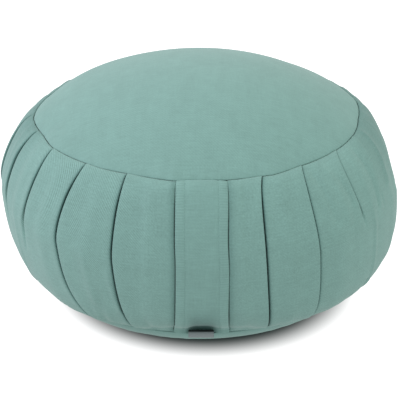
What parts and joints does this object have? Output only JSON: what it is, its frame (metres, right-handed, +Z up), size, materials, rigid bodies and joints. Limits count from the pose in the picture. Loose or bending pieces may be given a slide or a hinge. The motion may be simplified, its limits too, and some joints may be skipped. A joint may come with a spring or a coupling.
{
  "type": "zafu meditation cushion",
  "caption": "Round filled floor cushion with a knife-pleated side, domed top panel, flat base, carrying strap and a plain folded seam label.",
  "frame": {"origin": "on the floor at the centre of the flat base", "axes": "+Z up through the crown, -Y towards the carrying strap at the front, +X to the right seen from the front"},
  "size_m": [0.3607, 0.3604, 0.198],
  "materials": {
    "cotton_side": "fine cotton twill, sea green, matt, pleated",
    "cotton_top": "fine cotton twill, sea green, matt, drawn over the crown",
    "cotton_base": "fine cotton twill, sea green, matt, flat underneath",
    "cotton_strap": "fine cotton twill, sea green, matt, hemmed and topstitched",
    "woven_label": "fine woven ribbon, charcoal, slight sheen, no text"
  },
  "bodies": {
    "root": {"pleated_body": "cotton_side", "top_panel": "cotton_top", "base_panel": "cotton_base", "handle_strap": "cotton_strap", "seam_label": "woven_label"}
  },
  "joints": []
}
